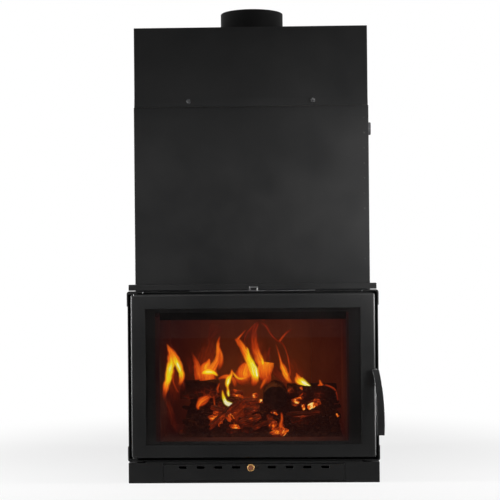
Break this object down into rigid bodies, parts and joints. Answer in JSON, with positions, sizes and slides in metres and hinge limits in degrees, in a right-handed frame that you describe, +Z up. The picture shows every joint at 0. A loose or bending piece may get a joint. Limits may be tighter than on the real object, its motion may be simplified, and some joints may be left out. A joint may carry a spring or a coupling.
{
  "type": "water jacket fireplace",
  "caption": "Tall black built-in wood fireplace with a water jacket, wide glazed door with a curved side handle, ash drawer with an air register, water socket and round flue collar.",
  "frame": {"origin": "on the floor, under the middle of the casing", "axes": "+Z up along the flue, -Y towards the person who stands in front of the door, +X to that person's right"},
  "size_m": [0.773, 0.597, 1.464],
  "materials": {
    "black_paint": "satin black heat-resistant paint on sheet steel",
    "bare_steel": "plain sheet steel, dulled",
    "bright_steel": "plated steel",
    "boiler_plate": "dark mill-finish boiler plate",
    "socket_steel": "grey plain steel",
    "coil_steel": "stainless tube",
    "dark_steel": "smooth dark steel",
    "knob_brass": "polished brass",
    "knob_insert": "brown insert",
    "grate_iron": "rough cast iron",
    "firebrick": "sooty vermiculite board",
    "embers": "glowing ember and ash heap",
    "charred_wood": "burning wood, charred",
    "door_pane": "clear ceramic glass with a printed black border",
    "fibre_tape": "flat glass-fibre tape",
    "fibre_rope": "glass-fibre rope"
  },
  "bodies": {
    "root": {"base_plinth": "black_paint", "base_floor": "black_paint", "drawer_runners": "bare_steel", "sill_strip": "black_paint", "front_frame": "black_paint", "corner_brackets": "black_paint", "bracket_screws": "bright_steel", "top_ledge": "black_paint", "airwash_deflector": "bare_steel", "casing_front": "black_paint", "casing_sides": "black_paint", "casing_rear": "black_paint", "casing_rivets": "dark_steel", "smoke_box": "black_paint", "cleaning_cover": "black_paint", "cover_gasket": "fibre_tape", "cover_bolts": "bright_steel", "tapered_washers": "bright_steel", "flue_collar": "black_paint", "jacket_sides": "boiler_plate", "jacket_rear": "boiler_plate", "jacket_brow": "boiler_plate", "firebox_shell": "boiler_plate", "upper_tube_plate": "boiler_plate", "fire_tubes": "boiler_plate", "stay_bolts": "boiler_plate", "safety_coil": "coil_steel", "side_sockets": "socket_steel", "rear_sockets": "socket_steel", "bottom_plate": "boiler_plate", "ash_chute": "boiler_plate", "floor_plate": "boiler_plate", "grate": "grate_iron", "floor_bricks": "firebrick", "lining_rear": "firebrick", "lining_sides": "firebrick", "baffle": "firebrick", "ember_bed": "embers", "logs": "charred_wood", "hinge_brackets": "black_paint", "hinge_washer": "knob_brass", "hinge_pins": "bright_steel", "latch_keeper": "bright_steel"},
    "door": {"door_leaf": "black_paint", "door_glass": "door_pane", "glass_seal": "fibre_tape", "glass_clips": "bare_steel", "rope_gasket": "fibre_rope", "pivot_blocks": "bare_steel", "handle_bosses": "dark_steel", "handle_pivot": "bright_steel"},
    "handle": {"handle_arm": "dark_steel", "handle_blade": "dark_steel"},
    "ash_drawer": {"ash_drawer_front": "black_paint", "ash_pan": "bare_steel", "register_guides": "bare_steel"},
    "air_register": {"air_register": "bare_steel", "register_knob": "knob_brass", "knob_inlay": "knob_insert"},
    "airwash_control": {"airwash_slide": "bare_steel"}
  },
  "joints": [
    {"name": "door_hinge", "type": "hinge", "parent": "root", "child": "door", "pos_m": [-0.36, -0.266, 0.3235], "axis": [0, 0, -1], "range_deg": [0, 100]},
    {"name": "handle_turn", "type": "hinge", "parent": "door", "child": "handle", "pos_m": [0.372, -0.272, 0.3305], "axis": [-1, 0, 0], "range_deg": [0, 25]},
    {"name": "ash_drawer_slide", "type": "slide", "parent": "root", "child": "ash_drawer", "axis": [0, -1, 0], "range_m": [0, 0.3]},
    {"name": "air_register_slide", "type": "slide", "parent": "ash_drawer", "child": "air_register", "axis": [1, 0, 0], "range_m": [0, 0.02]},
    {"name": "airwash_slide", "type": "slide", "parent": "root", "child": "airwash_control", "axis": [1, 0, 0], "range_m": [-0.015, 0.015]}
  ]
}
